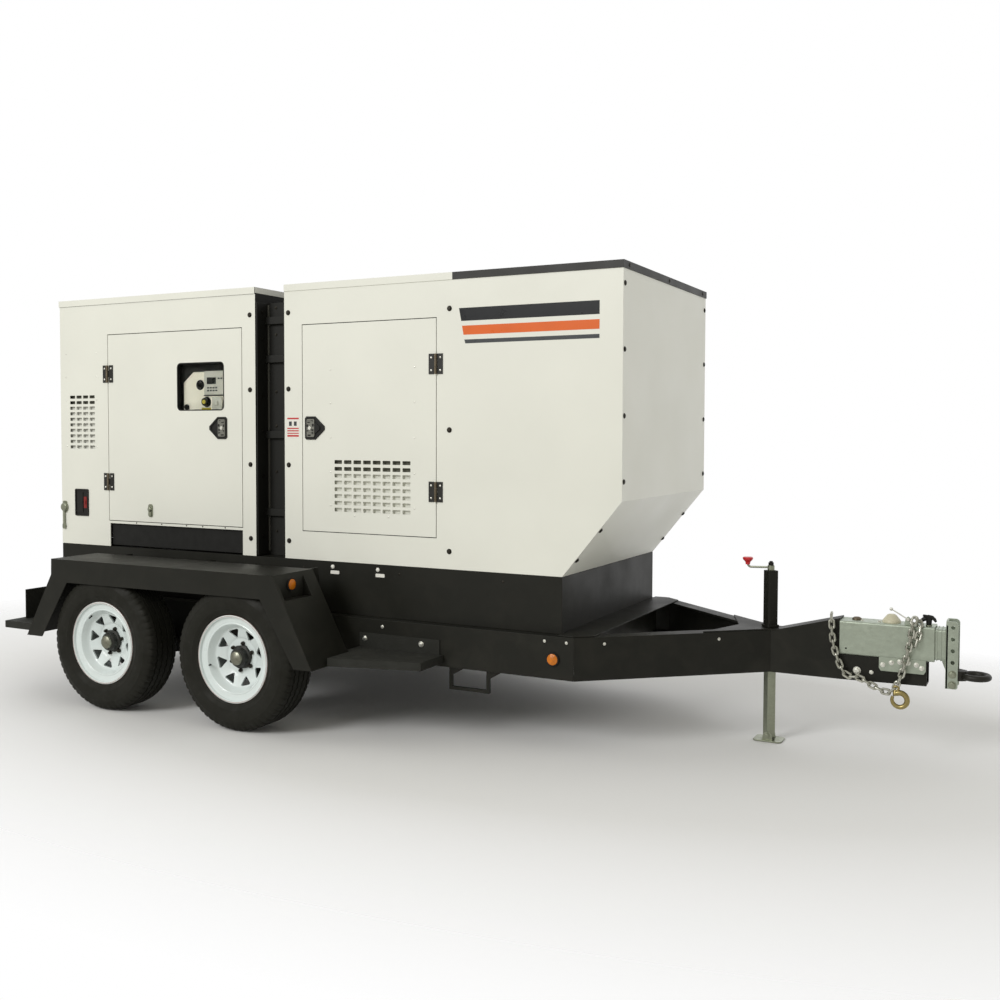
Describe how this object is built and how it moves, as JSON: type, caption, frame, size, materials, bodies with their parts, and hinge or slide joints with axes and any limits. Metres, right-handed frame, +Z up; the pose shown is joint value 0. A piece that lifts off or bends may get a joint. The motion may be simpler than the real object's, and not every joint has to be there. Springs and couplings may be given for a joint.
{
  "type": "towable diesel generator",
  "caption": "Sound-enclosed diesel generator set on a fuel tank base and tandem-axle trailer with tongue, surge brake, towing ring and crank jack.",
  "frame": {"origin": "on the ground under the middle of the whole trailer, between the rear steps' edge and the towing ring's tip", "axes": "+X forward to the towing ring, +Y to the trailer's left, +Z up"},
  "size_m": [4.897, 2.17, 2.164],
  "materials": {
    "chassis_paint": "satin charcoal paint",
    "step_paint": "black gritty anti-slip paint",
    "enclosure_paint": "warm ivory powder coat",
    "grille_paint": "satin black powder coat",
    "tyre": "matt black rubber",
    "rim_paint": "gloss cool white paint",
    "hub_iron": "dark greased casting",
    "galvanised": "greenish galvanised finish",
    "zinc": "bright zinc plating",
    "jack_paint": "satin black paint",
    "knob_plastic": "red moulded plastic",
    "chain_steel": "zinc plated chain steel",
    "ring_steel": "black forged steel",
    "latch_black": "black textured die casting",
    "panel_paint": "cream textured powder coat",
    "switch_black": "black moulded plastic",
    "stop_switch": "black moulded plastic with a yellow centre",
    "engine_paint": "grey engine enamel on castings",
    "radiator_core": "plain finned aluminium",
    "fan_black": "black moulded nylon",
    "silencer_steel": "aluminised steel"
  },
  "bodies": {
    "chassis": {"frame_rail_right": "chassis_paint", "frame_rail_left": "chassis_paint", "tongue_rail_right": "chassis_paint", "tongue_rail_left": "chassis_paint", "front_deck": "chassis_paint", "drawbar": "chassis_paint", "base_tank": "chassis_paint", "front_step_right": "step_paint", "front_step_left": "step_paint", "rear_step_right": "step_paint", "rear_step_left": "step_paint", "fender_right": "chassis_paint", "fender_left": "chassis_paint", "axle_tube_rear": "chassis_paint", "axle_tube_front": "chassis_paint", "jack_tube": "jack_paint", "actuator_case": "galvanised", "safety_chain": "chain_steel", "rear_housing": "enclosure_paint", "front_housing": "enclosure_paint", "roof_grille": "grille_paint", "control_panel": "panel_paint", "engine_block": "engine_paint", "alternator": "engine_paint", "radiator": "radiator_core", "muffler": "silencer_steel"},
    "arm_rear_right": {"torsion_arm_rear_right": "chassis_paint"},
    "wheel_rear_right": {"tyre_rear_right": "tyre", "rim_rear_right": "rim_paint", "hub_rear_right": "hub_iron"},
    "arm_rear_left": {"torsion_arm_rear_left": "chassis_paint"},
    "wheel_rear_left": {"tyre_rear_left": "tyre", "rim_rear_left": "rim_paint", "hub_rear_left": "hub_iron"},
    "arm_front_right": {"torsion_arm_front_right": "chassis_paint"},
    "wheel_front_right": {"tyre_front_right": "tyre", "rim_front_right": "rim_paint", "hub_front_right": "hub_iron"},
    "arm_front_left": {"torsion_arm_front_left": "chassis_paint"},
    "wheel_front_left": {"tyre_front_left": "tyre", "rim_front_left": "rim_paint", "hub_front_left": "hub_iron"},
    "jack_leg": {"jack_leg": "zinc", "jack_foot": "zinc"},
    "jack_crank": {"jack_crank": "zinc"},
    "jack_knob": {"jack_knob": "knob_plastic"},
    "surge_slide": {"actuator_slide": "galvanised", "pintle_ring": "ring_steel"},
    "breakaway_lever": {"breakaway_lever": "zinc"},
    "control_door": {"control_door": "enclosure_paint"},
    "control_door_latch": {"control_door_latch": "latch_black"},
    "access_door_left": {"access_door_left": "enclosure_paint"},
    "access_door_latch": {"access_door_latch": "latch_black"},
    "engine_door_right": {"engine_door_right": "enclosure_paint"},
    "engine_door_right_latch": {"engine_door_right_latch": "latch_black"},
    "engine_door_left": {"engine_door_left": "enclosure_paint"},
    "engine_door_left_latch": {"engine_door_left_latch": "latch_black"},
    "key_switch": {"key_switch": "switch_black"},
    "emergency_stop_button": {"emergency_stop_button": "stop_switch"},
    "cooling_fan": {"cooling_fan": "fan_black"}
  },
  "joints": [
    {"name": "suspension_rear_right", "type": "hinge", "parent": "chassis", "child": "arm_rear_right", "pos_m": [-1.4885, -0.675, 0.284], "axis": [0, 1, 0], "range_deg": [-18, 16], "stiffness_Nm_per_rad": 4000, "springref_deg": -9},
    {"name": "wheel_spin_rear_right", "type": "hinge", "parent": "arm_rear_right", "child": "wheel_rear_right", "pos_m": [-1.6285, -0.971, 0.345], "axis": [0, 1, 0], "continuous": true},
    {"name": "suspension_rear_left", "type": "hinge", "parent": "chassis", "child": "arm_rear_left", "pos_m": [-1.4885, 0.675, 0.284], "axis": [0, 1, 0], "range_deg": [-18, 16], "stiffness_Nm_per_rad": 4000, "springref_deg": -9},
    {"name": "wheel_spin_rear_left", "type": "hinge", "parent": "arm_rear_left", "child": "wheel_rear_left", "pos_m": [-1.6285, 0.971, 0.345], "axis": [0, 1, 0], "continuous": true},
    {"name": "suspension_front_right", "type": "hinge", "parent": "chassis", "child": "arm_front_right", "pos_m": [-0.6355, -0.675, 0.284], "axis": [0, 1, 0], "range_deg": [-18, 16], "stiffness_Nm_per_rad": 4000, "springref_deg": -9},
    {"name": "wheel_spin_front_right", "type": "hinge", "parent": "arm_front_right", "child": "wheel_front_right", "pos_m": [-0.7755, -0.971, 0.345], "axis": [0, 1, 0], "continuous": true},
    {"name": "suspension_front_left", "type": "hinge", "parent": "chassis", "child": "arm_front_left", "pos_m": [-0.6355, 0.675, 0.284], "axis": [0, 1, 0], "range_deg": [-18, 16], "stiffness_Nm_per_rad": 4000, "springref_deg": -9},
    {"name": "wheel_spin_front_left", "type": "hinge", "parent": "arm_front_left", "child": "wheel_front_left", "pos_m": [-0.7755, 0.971, 0.345], "axis": [0, 1, 0], "continuous": true},
    {"name": "jack_crank_turn", "type": "hinge", "parent": "chassis", "child": "jack_crank", "pos_m": [1.5095, 0, 0.8], "axis": [0, 0, 1], "range_deg": [-7200, 18000]},
    {"name": "jack_leg_travel", "type": "slide", "parent": "chassis", "child": "jack_leg", "axis": [0, 0, 1], "range_m": [-0.1001, 0.2501]},
    {"name": "jack_knob_spin", "type": "hinge", "parent": "jack_crank", "child": "jack_knob", "pos_m": [1.4015, 0, 0.825], "axis": [0, 0, 1], "continuous": true},
    {"name": "surge_travel", "type": "slide", "parent": "chassis", "child": "surge_slide", "axis": [1, 0, 0], "range_m": [-0.035, 0]},
    {"name": "breakaway_lever_pull", "type": "hinge", "parent": "chassis", "child": "breakaway_lever", "pos_m": [2.1145, -0.051, 0.618], "axis": [0, 1, 0], "range_deg": [0, 75]},
    {"name": "control_door_swing", "type": "hinge", "parent": "chassis", "child": "control_door", "pos_m": [-2.0555, -0.612, 1.441], "axis": [0, 0, -1], "range_deg": [0, 120]},
    {"name": "control_door_latch_lift", "type": "hinge", "parent": "control_door", "child": "control_door_latch", "pos_m": [-1.1985, -0.6115, 1.441], "axis": [0, 0, 1], "range_deg": [0, 35], "stiffness_Nm_per_rad": 0.4},
    {"name": "access_door_left_swing", "type": "hinge", "parent": "chassis", "child": "access_door_left", "pos_m": [-2.0555, 0.612, 1.441], "axis": [0, 0, 1], "range_deg": [0, 120]},
    {"name": "access_door_latch_lift", "type": "hinge", "parent": "access_door_left", "child": "access_door_latch", "pos_m": [-1.1985, 0.6115, 1.441], "axis": [0, 0, -1], "range_deg": [0, 35], "stiffness_Nm_per_rad": 0.4},
    {"name": "engine_door_right_swing", "type": "hinge", "parent": "chassis", "child": "engine_door_right", "pos_m": [0.0745, -0.612, 1.441], "axis": [0, 0, 1], "range_deg": [0, 120]},
    {"name": "engine_door_right_latch_lift", "type": "hinge", "parent": "engine_door_right", "child": "engine_door_right_latch", "pos_m": [-0.6855, -0.6115, 1.441], "axis": [0, 0, -1], "range_deg": [0, 35], "stiffness_Nm_per_rad": 0.4},
    {"name": "engine_door_left_swing", "type": "hinge", "parent": "chassis", "child": "engine_door_left", "pos_m": [0.0745, 0.612, 1.441], "axis": [0, 0, -1], "range_deg": [0, 120]},
    {"name": "engine_door_left_latch_lift", "type": "hinge", "parent": "engine_door_left", "child": "engine_door_left_latch", "pos_m": [-0.6855, 0.6115, 1.441], "axis": [0, 0, 1], "range_deg": [0, 35], "stiffness_Nm_per_rad": 0.4},
    {"name": "key_turn", "type": "hinge", "parent": "chassis", "child": "key_switch", "pos_m": [-1.4135, -0.566, 1.671], "axis": [0, 1, 0], "range_deg": [0, 90]},
    {"name": "emergency_stop_press", "type": "slide", "parent": "chassis", "child": "emergency_stop_button", "axis": [0, 1, 0], "range_m": [0, 0.005], "stiffness_N_per_m": 1500},
    {"name": "fan_spin", "type": "hinge", "parent": "chassis", "child": "cooling_fan", "pos_m": [0.1025, 0, 1.23], "axis": [1, 0, 0], "continuous": true}
  ],
  "couplings": [
    {"joint": "jack_leg_travel", "follows": "jack_crank_turn", "m_per_rad": 0.00079577}
  ]
}
